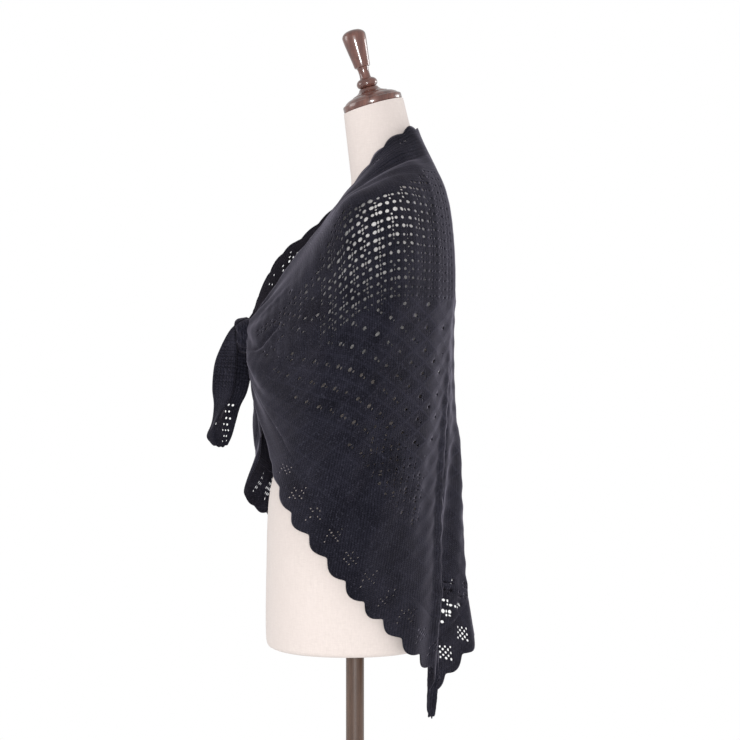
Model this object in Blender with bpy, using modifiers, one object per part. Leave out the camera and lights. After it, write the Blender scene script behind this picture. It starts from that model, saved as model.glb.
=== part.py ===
"""A triangular lace-knit shawl, tied in front on a limbless dress form on a pole stand.

The frame stands on the floor: +Z is up, the form faces -Y and its left side is +X.
The shawl is a flat triangle. A point of it is named by `along`, its distance in mm along the
top edge from the centre back (left positive), and `down`, its distance in mm from that edge.
"""

import math
from collections import namedtuple

import bmesh
import bpy
from mathutils import Vector
from mathutils.bvhtree import BVHTree

MM = 0.001

# ---------------------------------------------------------------- driving dimensions, in mm
WALL = 2.0               # thickness of the knitted cloth
SEAM = 0.9               # gap between the lace body and an edging
CENTRE_SEAM = 0.8        # gap between the two halves at the centre back
REST_GAP = 0.3           # gap where one hard piece rests on another
HALF_WIDTH = 650.0       # flat triangle: centre back to one wing tip
DEPTH = 790.0            # flat triangle: top edge to the back tip
HEM_LENGTH = math.hypot(HALF_WIDTH, DEPTH)
NECK_BORDER = 38.0       # depth of the edging round the neck
HEM_BORDER = 42.0        # depth of the scalloped edging, square to the hem
HEM_SCALLOP = 40.0       # length of a scallop on the hem
NECK_SCALLOP = 38.0      # length of a scallop on the neck edge
HEM_SCALLOP_DEPTH = 11.0
NECK_SCALLOP_DEPTH = 4.0
HEM_STEPS = 4            # grid steps in a scallop on the hem
NECK_STEPS = 4           # grid steps in a scallop on the neck edge
# rows of the two edgings as shares of their depth
HEM_ROWS = (0.0, 0.2, 0.46, 0.72, 1.0)
NECK_ROWS = (0.0, 0.32, 0.66, 1.0)
# rows of the lace body as shares of its depth, closest where it bends over the shoulder
WING_ROWS = (0.0, 0.04, 0.08, 0.12, 0.16, 0.2, 0.25, 0.31, 0.39, 0.48, 0.58, 0.68, 0.79, 0.9, 1.0)
TURNED_UNDER = {1: 300.0, -1: 348.0}     # past here the left and right hems are turned under
NARROW_BELOW = 480.0     # the edgings narrow where the flat triangle is less deep than this
KNOT_END = 400.0         # how far along each wing reaches before the knot
SQUARED_OFF = 80.0       # the hem edging's rows turn parallel over this stretch before the knot
EYELET = 4.6             # opening cut for one large eyelet
EYELET_RIM = 1.2         # least width of cloth kept beside an eyelet
CLOTH_CLEARANCE = 1.8    # middle of the cloth to the form, where it rests on it
CLEARANCE_BLEND = 6.0    # how softly the cloth leaves the form

FORM_SEGMENTS = 28
POLE_RADIUS = 12.2
FORM_BOTTOM = 800.0
KNOT_CENTRE = (0.0, -144.0, 1217.8)
KNOT_HALF_SIZE = (19.9, 15.0, 22.2)
KNOT_SQUARENESS = 3.2    # 2 is an ellipsoid, more is fuller at the corners

# ---------------------------------------------------------------- tables, in mm
FormRing = namedtuple("FormRing", "level front_y front_z back_y back_z half_width power")
FORM_RINGS = [
    FormRing("bottom face", -112, 800, 95, 800, 145, 2.1),
    FormRing("bottom edge", -118, 804, 101, 804, 151, 2.1),
    FormRing("thigh", -120, 820, 104, 820, 154, 2.1),
    FormRing("low hip", -120, 865, 108, 865, 161, 2.15),
    FormRing("hip", -119, 915, 110, 915, 165, 2.2),
    FormRing("high hip", -118, 965, 107, 965, 157, 2.15),
    FormRing("stomach", -115, 1005, 99, 1005, 141, 2.1),
    FormRing("above stomach", -107, 1040, 91, 1040, 126, 2.05),
    FormRing("waist", -94, 1085, 87, 1085, 114, 2.0),
    FormRing("ribs", -101, 1130, 97, 1130, 122, 2.0),
    FormRing("underbust", -115, 1175, 110, 1175, 134, 2.05),
    FormRing("bust", -125, 1224, 119, 1224, 147, 2.1),
    FormRing("above bust", -112, 1262, 123, 1262, 158, 2.15),
    FormRing("chest", -84, 1300, 123, 1305, 170, 2.2),
    FormRing("armhole", -56, 1335, 119, 1350, 180, 2.2),
    FormRing("shoulder point", -34, 1368, 111, 1388, 185, 2.1),
    FormRing("shoulder top", -22, 1388, 103, 1412, 172, 1.95),
    FormRing("shoulder slope", -14, 1402, 98, 1432, 142, 1.95),
    FormRing("shoulder inner", -8, 1412, 92, 1447, 104, 1.85),
    FormRing("neck root", -5, 1424, 87, 1462, 72, 1.9),
    FormRing("neck low", -7, 1445, 82, 1478, 57, 2.0),
    FormRing("neck middle", -11, 1480, 74, 1502, 49, 2.0),
    FormRing("neck top", -15, 1515.5, 65, 1538, 41, 2.0),
]

Section = namedtuple("Section", "along edge shoulder middle hem")
SECTIONS = [
    Section(-400, (-20.6, -138, 1251), (-20.6, -146, 1234), (-20.6, -147, 1208), (-20.6, -141, 1193)),
    Section(-388, (-28, -134, 1260), (-38, -141, 1240), (-42, -144, 1200), (-36, -139, 1166)),
    Section(-375, (-36, -130, 1270), (-60, -134, 1242), (-72, -139, 1178), (-55, -137, 1114)),
    Section(-362, (-43, -123, 1284), (-80, -128, 1246), (-98, -136, 1155), (-74, -139, 1056)),
    Section(-350, (-50, -116, 1298), (-100, -120, 1250), (-122, -130, 1135), (-102, -156, 1003)),
    Section(-330, (-58, -109, 1312), (-125, -105, 1265), (-150, -118, 1130), (-138, -130, 970)),
    Section(-300, (-70, -94, 1336), (-150, -85, 1285), (-180, -92, 1150), (-172, -80, 950)),
    Section(-250, (-84, -60, 1367), (-176, -42, 1330), (-210, -42, 1165), (-200, -5, 925)),
    Section(-200, (-84, -25, 1400), (-190, -5, 1375), (-212, 8, 1160), (-190, 72, 888)),
    Section(-150, (-78, 10, 1435), (-190, 50, 1386), (-196, 66, 1120), (-146, 136, 852)),
    Section(-100, (-69, 41, 1470), (-128, 96, 1400), (-140, 116, 1070), (-78, 162, 808)),
    Section(-50, (-45, 73, 1493), (-62, 126, 1380), (-68, 142, 1060), (-22, 134, 764)),
    Section(-25, (-24, 83, 1494), (-30, 127, 1378), (-34, 134, 1090), (7, 109, 742)),
    Section(0, (0, 86, 1493), (0, 127, 1378), (0, 130, 1150), (30, 99, 712)),
    Section(25, (24, 83, 1494), (30, 127, 1378), (36, 128, 1150), (52, 107, 762)),
    Section(50, (45, 73, 1494), (62, 125, 1384), (72, 128, 1160), (88, 92, 783)),
    Section(75, (59, 57, 1483), (95, 113, 1393), (108, 116, 1175), (129, 76, 804)),
    Section(100, (70, 38, 1468), (128, 96, 1400), (145, 98, 1190), (154, 50, 832)),
    Section(150, (78, 11, 1432), (190, 50, 1385), (200, 50, 1190), (186, 3, 880)),
    Section(200, (84, -20, 1393), (190, -5, 1372), (212, 5, 1190), (194, -43, 938)),
    Section(250, (82, -51, 1353), (176, -38, 1325), (208, -42, 1168), (164, -87, 994)),
    Section(300, (68, -82, 1316), (142, -80, 1272), (168, -92, 1155), (110, -110, 1058)),
    Section(360, (40, -113, 1271), (80, -124, 1240), (95, -134, 1180), (52, -134, 1130)),
    Section(400, (20.6, -134, 1245), (20.6, -144, 1232), (20.6, -145, 1208), (20.6, -140, 1194)),
]

Fold = namedtuple("Fold", "name from_along from_down to_along to_down width height")
FOLDS = [
    Fold("left back ridge", 46, 330, 34, 720, 15, 7),
    Fold("centre back valley", 4, 360, -4, 660, 18, -9),
    Fold("right back ridge", -46, 300, -62, 720, 18, 6),
    Fold("left collar crease", 20, 46, 240, 44, 9, -3),
    Fold("right collar crease", -20, 46, -240, 44, 9, -3),
    Fold("left knot crease", 398, 66, 250, 74, 12, -10),
    Fold("left knot pleat", 396, 115, 230, 180, 16, 9),
    Fold("left low crease", 397, 160, 260, 260, 16, -10),
    Fold("right knot crease", -398, 76, -260, 84, 12, -10),
    Fold("right knot pleat", -396, 125, -230, 190, 16, 9),
    Fold("right low crease", -397, 170, -250, 290, 16, -10),
    Fold("right side fold", -190, 300, -240, 470, 22, 9),
    Fold("left side fold", 180, 260, 215, 480, 24, 6),
]

TailRow = namedtuple("TailRow", "outer crest inner")
FRONT_TAIL = [
    TailRow((14, -144, 1243.5), (2, -147, 1245), (-12, -144, 1243.5)),
    TailRow((16, -158, 1238), (6, -161, 1239), (-12, -158, 1238)),
    TailRow((10, -170, 1222), (18, -163, 1221), (-10, -164, 1218)),
    TailRow((3, -182, 1200), (20, -162, 1199), (-9, -154, 1190)),
    TailRow((0, -190, 1178), (20, -163, 1176), (-8, -144, 1166)),
    TailRow((0, -193, 1147), (18, -165, 1145), (-6, -147, 1141)),
    TailRow((0, -191, 1124), (15, -177, 1126), (-5, -156, 1122)),
    TailRow((0, -194, 1100), (12, -184, 1104), (-4, -161, 1101)),
    TailRow((0, -201, 1082), (10, -190, 1084), (-2, -166, 1083)),
    TailRow((0, -195, 1071), (7, -183, 1067), (0, -172, 1069)),
]
UNDER_TAIL = [
    TailRow((14, -142, 1194.8), (0, -144, 1194.8), (-14, -142, 1194.8)),
    TailRow((18, -134, 1175), (0, -138, 1175), (-20, -134, 1175)),
    TailRow((20, -130, 1150), (0, -134, 1150), (-24, -130, 1150)),
    TailRow((18, -128, 1120), (-2, -132, 1118), (-26, -129, 1122)),
    TailRow((12, -126, 1096), (-4, -129, 1092), (-22, -127, 1098)),
    TailRow((4, -126, 1085), (-5, -127, 1081), (-14, -126, 1086)),
]

# radius and height above the neck's top, from the top down, along the leaning axis
FINIAL_PROFILE = [
    (0.0, 107.0), (9.0, 106.0), (13.5, 103.0), (16.2, 100.0), (15.8, 92.0), (13.2, 74.0),
    (11.0, 59.0), (10.6, 55.5), (8.0, 54.5), (7.2, 47.0), (7.4, 39.0), (11.5, 37.5),
    (14.2, 34.0), (14.2, 30.0), (12.0, 27.5), (9.0, 26.3), (0.0, 26.3),
]
CAP_PROFILE = [
    (0.0, 26.0), (12.5, 26.0), (14.5, 22.5), (19.0, 19.0), (24.0, 17.2), (29.0, 15.5),
    (34.0, 13.0), (38.8, 9.6), (40.5, 8.0), (40.5, 1.5), (39.5, 0.3), (0.0, 0.3),
]
BASE_PROFILE = [
    (0.0, 34.0), (20.0, 34.0), (24.0, 31.0), (27.0, 26.0), (40.0, 22.0), (176.0, 18.0),
    (184.0, 16.0), (189.0, 11.0), (190.0, 6.0), (187.0, 0.0), (0.0, 0.0),
]
BASE_TOP = 34.0


# ---------------------------------------------------------------- scene and materials
def clear_scene():
    """Remove whatever objects the new file holds."""
    for item in list(bpy.data.objects):
        bpy.data.objects.remove(item, do_unlink=True)


def make_material(name, colour, roughness):
    """One Principled material."""
    material = bpy.data.materials.new(name)
    material.use_nodes = True
    shader = material.node_tree.nodes["Principled BSDF"]
    shader.inputs["Base Color"].default_value = (*colour, 1.0)
    shader.inputs["Roughness"].default_value = roughness
    shader.inputs["Metallic"].default_value = 0.0
    return material


def add_object(name, mesh, material, collection):
    """Link a mesh as one named sub-part."""
    item = bpy.data.objects.new(name, mesh)
    mesh.materials.append(material)
    collection.objects.link(item)
    return item


# ---------------------------------------------------------------- smooth curves through points
def smooth_between(start, end, leave, arrive, share):
    """A cubic from start to end with the directions it leaves and arrives in."""
    squared = share * share
    cubed = squared * share
    return (start * (2 * cubed - 3 * squared + 1) + leave * (cubed - 2 * squared + share)
            + end * (3 * squared - 2 * cubed) + arrive * (cubed - squared))


def curve_at(values, place):
    """The smooth curve through evenly numbered values, at a fractional number."""
    last = len(values) - 1
    index = min(max(int(place), 0), last - 1)
    before = values[index - 1] if index > 0 else values[0] * 2 - values[1]
    after = values[index + 2] if index + 2 <= last else values[last] * 2 - values[last - 1]
    start, end = values[index], values[index + 1]
    return smooth_between(start, end, (end - before) / 2, (after - start) / 2, place - index)


def bump(share):
    """Rises from 0 to 1 and falls again as share goes from 0 to 1."""
    return math.sin(math.pi * min(max(share, 0.0), 1.0)) ** 0.7


# ---------------------------------------------------------------- the dress form
def form_ring_points(ring):
    """One closed ring of the torso, leaning where its front and back heights differ."""
    middle_y = (ring.front_y + ring.back_y) / 2
    middle_z = (ring.front_z + ring.back_z) / 2
    points = []
    for step in range(FORM_SEGMENTS):
        angle = 2 * math.pi * step / FORM_SEGMENTS
        across = math.copysign(abs(math.sin(angle)) ** (2 / ring.power), math.sin(angle))
        ahead = math.copysign(abs(math.cos(angle)) ** (2 / ring.power), math.cos(angle))
        points.append(Vector((
            ring.half_width * across,
            middle_y + (ring.back_y - ring.front_y) / 2 * ahead,
            middle_z + (ring.back_z - ring.front_z) / 2 * ahead,
        )))
    return points


def make_form_body(material, collection):
    """The torso: a loft through its rings, closed flat at the bottom and at the neck."""
    table = [form_ring_points(ring) for ring in FORM_RINGS]
    bust = [ring.level for ring in FORM_RINGS].index("bust")
    rows = table[:bust]
    for place in range((len(table) - 1 - bust) * 2 + 1):
        rows.append([curve_at([row[step] for row in table], bust + place / 2)
                     for step in range(FORM_SEGMENTS)])
    shape = bmesh.new()
    rings = [[shape.verts.new(point * MM) for point in row] for row in rows]
    for lower, upper in zip(rings, rings[1:]):
        for step in range(FORM_SEGMENTS):
            after = (step + 1) % FORM_SEGMENTS
            shape.faces.new((lower[step], upper[step], upper[after], lower[after]))
    shape.faces.new(rings[0])
    shape.faces.new(list(reversed(rings[-1])))
    bmesh.ops.recalc_face_normals(shape, faces=shape.faces)
    mesh = bpy.data.meshes.new("form_body")
    shape.to_mesh(mesh)
    shape.free()
    mesh.shade_smooth()
    mesh.set_sharp_from_angle(angle=math.radians(40))
    return add_object("form_body", mesh, material, collection)


def make_turned(name, profile, steps, material, collection):
    """A turned piece: its profile, from the top down, screwed round its own Z axis."""
    mesh = bpy.data.meshes.new(name)
    points = [(radius * MM, 0.0, height * MM) for radius, height in profile]
    edges = [(index, index + 1) for index in range(len(points) - 1)]
    mesh.from_pydata(points, edges, [])
    item = add_object(name, mesh, material, collection)
    screw = item.modifiers.new("turn", "SCREW")
    screw.steps = steps
    screw.render_steps = steps
    screw.use_merge_vertices = True
    screw.merge_threshold = 0.00005
    screw.use_smooth_shade = True
    return item


def lean_with_neck(item):
    """Stand a piece on the neck's leaning top."""
    top = FORM_RINGS[-1]
    item.location = Vector((0.0, top.front_y + top.back_y, top.front_z + top.back_z)) / 2 * MM
    item.rotation_euler.x = math.atan2(top.back_z - top.front_z, top.back_y - top.front_y)


def make_stand(wood, collection):
    """Neck cap, finial, pole and base."""
    lean_with_neck(make_turned("neck_cap", CAP_PROFILE, 28, wood, collection))
    lean_with_neck(make_turned("finial", FINIAL_PROFILE, 18, wood, collection))
    make_turned("base", BASE_PROFILE, 36, wood, collection)
    low = BASE_TOP + REST_GAP
    high = FORM_BOTTOM - REST_GAP
    bpy.ops.mesh.primitive_cylinder_add(
        vertices=24, radius=POLE_RADIUS * MM, depth=(high - low) * MM,
        location=(0.0, 0.0, (high + low) / 2 * MM))
    pole = bpy.context.object
    pole.name = "pole"
    pole.data.materials.append(wood)
    pole.data.shade_smooth()
    pole.data.set_sharp_from_angle(angle=math.radians(40))
    for holder in list(pole.users_collection):
        holder.objects.unlink(pole)
    collection.objects.link(pole)


# ---------------------------------------------------------------- the worn cloth
def flat_depth(along):
    """Depth of the flat triangle below a place on its top edge."""
    return DEPTH * (1 - abs(along) / HALF_WIDTH)


def section_at(along):
    """The four points of the cloth's section at a place along the top edge."""
    places = [section.along for section in SECTIONS]
    index = max(i for i in range(len(places) - 1) if places[i] <= along or i == 0)
    span = places[index + 1] - places[index]
    share = (along - places[index]) / span
    corners = []
    for part in ("edge", "shoulder", "middle", "hem"):
        values = [Vector(getattr(section, part)) for section in SECTIONS]
        start, end = values[index], values[index + 1]
        leave = end - start
        arrive = end - start
        if index > 0:
            leave = (end - values[index - 1]) * (span / (places[index + 1] - places[index - 1]))
        if index + 2 < len(values):
            arrive = (values[index + 2] - start) * (span / (places[index + 2] - places[index]))
        corners.append(smooth_between(start, end, leave, arrive, share))
    return corners


class Column:
    """One section of the cloth as a curve that is measured along its length."""

    samples = 36

    def __init__(self, along):
        self.along = along
        corners = section_at(along)
        self.points = []
        for step in range(self.samples + 1):
            self.points.append(curve_at(corners, 3 * step / self.samples))
        self.lengths = [0.0]
        for start, end in zip(self.points, self.points[1:]):
            self.lengths.append(self.lengths[-1] + (end - start).length)

    def at(self, share):
        """The point at a share of the section's length; past its end it runs straight on."""
        goal = share * self.lengths[-1]
        index = 0
        while index < self.samples - 1 and self.lengths[index + 1] < goal:
            index += 1
        span = self.lengths[index + 1] - self.lengths[index]
        return self.points[index].lerp(self.points[index + 1],
                                       (goal - self.lengths[index]) / span)


COLUMNS = {}


def column_at(along):
    """The section at a place along the top edge, worked out once."""
    key = round(along, 3)
    if key not in COLUMNS:
        COLUMNS[key] = Column(along)
    return COLUMNS[key]


def bare_point(along, down):
    """The cloth's middle surface before folds, at a place of the flat triangle."""
    return column_at(along).at(down / flat_depth(along))


def fold_height(along, down):
    """How far the folds lift or sink the cloth at a place of the flat triangle."""
    height = 0.0
    for fold in FOLDS:
        run = Vector((fold.to_along - fold.from_along, fold.to_down - fold.from_down))
        place = Vector((along - fold.from_along, down - fold.from_down))
        share = place.dot(run) / run.length_squared
        if -0.15 < share < 1.15:
            aside = (place - run * share).length / fold.width
            height += fold.height * bump(share) * math.exp(-aside * aside)
    return height


def cloth_normal(along, down):
    """Outward direction of the bare surface."""
    step = 4.0
    beside = min(max(along, -KNOT_END + step), KNOT_END - step)
    across = bare_point(beside + step, down) - bare_point(beside - step, down)
    downward = bare_point(beside, down + step) - bare_point(beside, down - step)
    return across.cross(downward).normalized()


class FormSurface:
    """The torso's surface, for keeping the cloth clear of it."""

    def __init__(self, body):
        mesh = body.data
        points = [vertex.co / MM for vertex in mesh.vertices]
        faces = [tuple(face.vertices) for face in mesh.polygons]
        self.tree = BVHTree.FromPolygons(points, faces)

    def clear(self, point):
        """Move a point out until the cloth there lies clear of the form."""
        place, normal, _, distance = self.tree.find_nearest(point)
        if (point - place).dot(normal) < 0:
            distance = -distance
        overlap = max(CLEARANCE_BLEND - abs(distance - CLOTH_CLEARANCE), 0.0)
        wanted = max(distance, CLOTH_CLEARANCE) + overlap * overlap / (4 * CLEARANCE_BLEND)
        if wanted <= distance:
            return point
        outward = (point - place) if distance > 0.5 else normal
        return point + outward.normalized() * (wanted - distance)


def cloth_point(form, along, down):
    """The finished middle surface of the cloth, in mm."""
    column = column_at(along)
    gathered = min(1.0, column.lengths[-1] / flat_depth(along))
    height = fold_height(along, down) * gathered * gathered
    return form.clear(bare_point(along, down) + cloth_normal(along, down) * height)


def solidify(item):
    """Give an open surface the cloth's thickness."""
    shell = item.modifiers.new("cloth", "SOLIDIFY")
    shell.thickness = WALL * MM
    shell.offset = 0.0
    shell.use_even_offset = False


def make_panel(name, rows, holes, material, collection):
    """A panel from a grid of points in mm, with an eyelet cut in each listed cell."""
    shape = bmesh.new()
    grid = [[shape.verts.new(point * MM) for point in row] for row in rows]
    cut = []
    for i in range(len(grid) - 1):
        for j in range(len(grid[0]) - 1):
            face = shape.faces.new((grid[i][j], grid[i][j + 1],
                                    grid[i + 1][j + 1], grid[i + 1][j]))
            if (i, j) in holes:
                cut.append(face)
    for face in cut:
        lengths = [edge.calc_length() / MM for edge in face.edges]
        margin = max((min(lengths) - EYELET) / 2, EYELET_RIM)
        bmesh.ops.inset_individual(shape, faces=[face], thickness=margin * MM)
    bmesh.ops.delete(shape, geom=cut, context="FACES")
    mesh = bpy.data.meshes.new(name)
    shape.to_mesh(mesh)
    shape.free()
    mesh.shade_smooth()
    item = add_object(name, mesh, material, collection)
    solidify(item)
    return item


def even_stops(start, stop, count):
    """Evenly spaced values from start to stop."""
    return [start + (stop - start) * i / count for i in range(count + 1)]


def scallop_stops(side, hem, pitch, steps):
    """Places along one wing whose edge points lie evenly along the worn edge."""
    fine = even_stops(CENTRE_SEAM / 2, KNOT_END, 200)
    edge = [bare_point(side * along, flat_depth(along) if hem else 0.0) for along in fine]
    reach = [0.0]
    for start, end in zip(edge, edge[1:]):
        reach.append(reach[-1] + (end - start).length)
    count = round(reach[-1] / pitch) * steps
    stops = []
    index = 0
    for step in range(count + 1):
        goal = reach[-1] * step / count
        while index < len(fine) - 2 and reach[index + 1] < goal:
            index += 1
        share = (goal - reach[index]) / (reach[index + 1] - reach[index])
        stops.append(fine[index] + (fine[index + 1] - fine[index]) * share)
    return stops


def half_seam(along):
    """Half of a seam's gap as flat depth, wider where the worn cloth is drawn together."""
    return SEAM / 2 * flat_depth(along) / column_at(along).lengths[-1]


def narrowing(along):
    """The edgings narrow with the wing as it runs to the knot."""
    return min(1.0, flat_depth(along) / NARROW_BELOW)


def hem_border_start(along):
    """Where the hem edging meets the lace body below a place on the top edge."""
    square_depth = HEM_BORDER * HEM_LENGTH / HALF_WIDTH
    return flat_depth(along) - square_depth * narrowing(along)


def hem_row_top(along):
    """Where a row of the hem edging, square to the hem, leaves the lace body."""
    from_seam = along - CENTRE_SEAM / 2
    lean = HEM_BORDER * DEPTH / HEM_LENGTH * min(1.0, (KNOT_END - along) / SQUARED_OFF)
    return CENTRE_SEAM / 2 + from_seam * from_seam / (from_seam + lean + 0.001)


def make_wing(name, side, hem_stops, form, material, collection):
    """The lace body of one wing, between its two edgings."""
    rows = []
    for along in hem_stops[::2]:
        top_along = hem_row_top(along)
        gap = half_seam(side * top_along)
        top = NECK_BORDER * narrowing(top_along) + gap
        reach = hem_border_start(top_along) - gap - top
        rows.append([cloth_point(form, side * top_along, top + reach * share)
                     for share in WING_ROWS])
    return make_panel(name, rows, set(), material, collection)


def make_hem_border(name, side, stops, form, material, collection):
    """Scalloped edging, square to the hem, with four large eyelets in each scallop."""
    rows = []
    for number, along in enumerate(stops):
        turned_under = along > TURNED_UNDER[side]
        inner_along = hem_row_top(along)
        inner_down = hem_border_start(inner_along) + half_seam(side * inner_along)
        scallop = 0.0 if turned_under else abs(math.sin(math.pi * number / HEM_STEPS))
        outer_down = flat_depth(along) + HEM_SCALLOP_DEPTH * scallop
        rows.append([cloth_point(form, side * (inner_along + (along - inner_along) * share),
                                 inner_down + (outer_down - inner_down) * share)
                     for share in HEM_ROWS])
    for before, row, after in zip(rows[::2], rows[1::2], rows[2::2]):
        row[0] = (before[0] + after[0]) / 2      # the lace body meets it in straight stretches
    eyelets = {(1, 1), (2, 1), (1, 2), (2, 2)}
    holes = {(i, j) for i in range(len(stops) - HEM_STEPS) for j in range(len(HEM_ROWS) - 1)
             if (i % HEM_STEPS, j) in eyelets and stops[i + HEM_STEPS] < TURNED_UNDER[side]}
    return make_panel(name, rows, holes, material, collection)


def make_neck_border(name, side, form, material, collection):
    """Edging round the neck with gentle scallops and a pair of large eyelets in each."""
    stops = scallop_stops(side, False, NECK_SCALLOP, NECK_STEPS)
    rows = []
    for number, along in enumerate(stops):
        end = NECK_BORDER * narrowing(along) - half_seam(side * along)
        start = NECK_SCALLOP_DEPTH * (0.9 - abs(math.sin(math.pi * number / NECK_STEPS)))
        rows.append([cloth_point(form, side * along, start + (end - start) * share)
                     for share in NECK_ROWS])
    holes = {(i, 1) for i in range(len(stops) - 1) if i % NECK_STEPS in (1, 2)}
    return make_panel(name, rows, holes, material, collection)


def make_tail(name, table, holes, material, collection):
    """A wing end: a strip through its rows, scalloped and pierced at its foot."""
    across = even_stops(0.0, 2.0, 6)
    downs = even_stops(0.0, len(table) - 1.0, (len(table) - 1) * 2)
    rows = []
    for down in downs:
        line = [curve_at([Vector(getattr(row, part)) for row in table], down)
                for part in TailRow._fields]
        rows.append([curve_at(line, place) for place in across])
    return make_panel(name, rows, holes, material, collection)


def make_knot(material, collection):
    """The tied crossing of the wing ends, a full rounded lump."""
    shape = bmesh.new()
    bmesh.ops.create_uvsphere(shape, u_segments=20, v_segments=11, radius=1.0)
    for vertex in shape.verts:
        way = vertex.co.normalized()
        size = sum(abs(value) ** KNOT_SQUARENESS for value in way) ** (-1 / KNOT_SQUARENESS)
        vertex.co = (way * size * Vector(KNOT_HALF_SIZE) + Vector(KNOT_CENTRE)) * MM
    mesh = bpy.data.meshes.new("knot")
    shape.to_mesh(mesh)
    shape.free()
    mesh.shade_smooth()
    return add_object("knot", mesh, material, collection)


def make_shawl(form, material, collection):
    """All the pieces of the tied shawl."""
    for word, side in (("left", 1), ("right", -1)):
        hem_stops = scallop_stops(side, True, HEM_SCALLOP, HEM_STEPS)
        make_wing(f"{word}_wing", side, hem_stops, form, material, collection)
        make_neck_border(f"{word}_neck_border", side, form, material, collection)
        make_hem_border(f"{word}_hem_border", side, hem_stops, form, material, collection)
    make_knot(material, collection)
    tail_holes = {(i, j) for i in (13, 15) for j in (2, 3)}
    make_tail("front_tail", FRONT_TAIL, tail_holes, material, collection)
    make_tail("under_tail", UNDER_TAIL, {(6, 2), (6, 3)}, material, collection)


def main():
    clear_scene()
    collection = bpy.data.collections.new("lace_shawl_on_dress_form")
    bpy.context.scene.collection.children.link(collection)
    knit = make_material("black lace knit", (0.024, 0.023, 0.032), 0.85)
    linen = make_material("natural linen", (0.88, 0.80, 0.73), 0.85)
    wood = make_material("brown varnished wood", (0.09, 0.035, 0.025), 0.3)
    body = make_form_body(linen, collection)
    make_stand(wood, collection)
    make_shawl(FormSurface(body), knit, collection)


main()
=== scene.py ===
"""A black lace-knit triangular shawl, tied in front on a linen-covered dress form on a pole."""
import math
import random
from collections import namedtuple
from functools import partial

import bmesh
import bpy
import numpy as np
from mathutils import Matrix, Vector, noise
from mathutils.bvhtree import BVHTree


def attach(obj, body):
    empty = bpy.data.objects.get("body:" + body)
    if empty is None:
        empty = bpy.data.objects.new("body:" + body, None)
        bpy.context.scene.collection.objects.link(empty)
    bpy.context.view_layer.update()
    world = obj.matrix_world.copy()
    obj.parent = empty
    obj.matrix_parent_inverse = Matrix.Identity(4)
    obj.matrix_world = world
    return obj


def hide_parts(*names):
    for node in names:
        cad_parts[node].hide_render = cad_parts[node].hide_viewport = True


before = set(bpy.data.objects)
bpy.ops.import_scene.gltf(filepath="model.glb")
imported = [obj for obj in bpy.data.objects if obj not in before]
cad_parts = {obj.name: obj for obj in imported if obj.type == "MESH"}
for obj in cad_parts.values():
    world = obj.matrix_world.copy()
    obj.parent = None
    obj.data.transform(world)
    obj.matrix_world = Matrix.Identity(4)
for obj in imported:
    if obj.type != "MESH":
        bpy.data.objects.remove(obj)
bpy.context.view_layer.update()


# ======================== the room
# A white studio: a pale floor under the stand, even white light from all round, a lamp
# straight ahead, a soft one in front and one behind that catches the fuzz of the wool.
FLOOR_HALF = 2.6
FLOOR_COLOUR = (0.9, 0.9, 0.89)
ROOM_LIGHT = 0.68  # the walls look white, and this much of it reaches the stand


def new_material(name, colour, roughness):
    """A Principled material with its tree, ready for more nodes."""
    material = bpy.data.materials.new(name)
    material.use_nodes = True
    shader = material.node_tree.nodes["Principled BSDF"]
    shader.inputs["Base Color"].default_value = (*colour, 1.0)
    shader.inputs["Roughness"].default_value = roughness
    return material, material.node_tree, shader


def add_node(tree, kind, links=(), **settings):
    """Add a node, set its fields, and feed its numbered inputs from sockets or plain values."""
    node = tree.nodes.new(kind)
    for field, value in settings.items():
        setattr(node, field, value)
    for slot, source in links:
        if isinstance(source, bpy.types.NodeSocket):
            tree.links.new(source, node.inputs[slot])
        else:
            node.inputs[slot].default_value = source
    return node


def map_range(tree, value, start, end, low, high):
    """Turn a value between start and end into one between low and high, held beyond them."""
    return add_node(tree, "ShaderNodeMapRange",
                    [(0, value), (1, start), (2, end), (3, low), (4, high)]).outputs[0]


def add_piece(name, shape, material):
    """Turn a bmesh into a linked, smooth-shaded object at the origin."""
    mesh = bpy.data.meshes.new(name)
    shape.to_mesh(mesh)
    shape.free()
    mesh.shade_smooth()
    mesh.materials.append(material)
    item = bpy.data.objects.new(name, mesh)
    bpy.context.scene.collection.objects.link(item)
    return item


floor_paint, _, _ = new_material("pale floor", FLOOR_COLOUR, 0.6)
floor_shape = bmesh.new()
bmesh.ops.create_grid(floor_shape, x_segments=1, y_segments=1, size=FLOOR_HALF)
floor = add_piece("floor", floor_shape, floor_paint)

world = bpy.data.worlds.new("white room")
world.use_nodes = True
room_light = world.node_tree.nodes["Background"]
room_light.inputs["Color"].default_value = (1.0, 1.0, 1.0, 1.0)
ray = add_node(world.node_tree, "ShaderNodeLightPath")
brightness = map_range(world.node_tree, ray.outputs[0], 0.0, 1.0, ROOM_LIGHT, 1.0)
world.node_tree.links.new(brightness, room_light.inputs["Strength"])
bpy.context.scene.world = world
bpy.context.scene.view_settings.view_transform = "Standard"

Lamp = namedtuple("Lamp", "name place aim width power")
LAMPS = [Lamp(*row) for row in (
    ("near lamp", (3.6, 0.02, 1.18), (0.0, 0.0, 1.2), 0.45, 73.0),
    ("front lamp", (0.2, -3.1, 1.7), (0.0, 0.0, 1.2), 1.6, 27.0),
    ("back lamp", (-1.4, 2.7, 1.8), (0.0, 0.1, 1.15), 1.2, 36.0),
)]
for lamp in LAMPS:
    light = bpy.data.lights.new(lamp.name, "AREA")
    light.size = lamp.width
    light.energy = lamp.power
    holder = bpy.data.objects.new(lamp.name, light)
    holder.location = lamp.place
    holder.rotation_euler = (Vector(lamp.aim) - Vector(lamp.place)).to_track_quat("-Z", "Y").to_euler()
    bpy.context.scene.collection.objects.link(holder)

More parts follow.
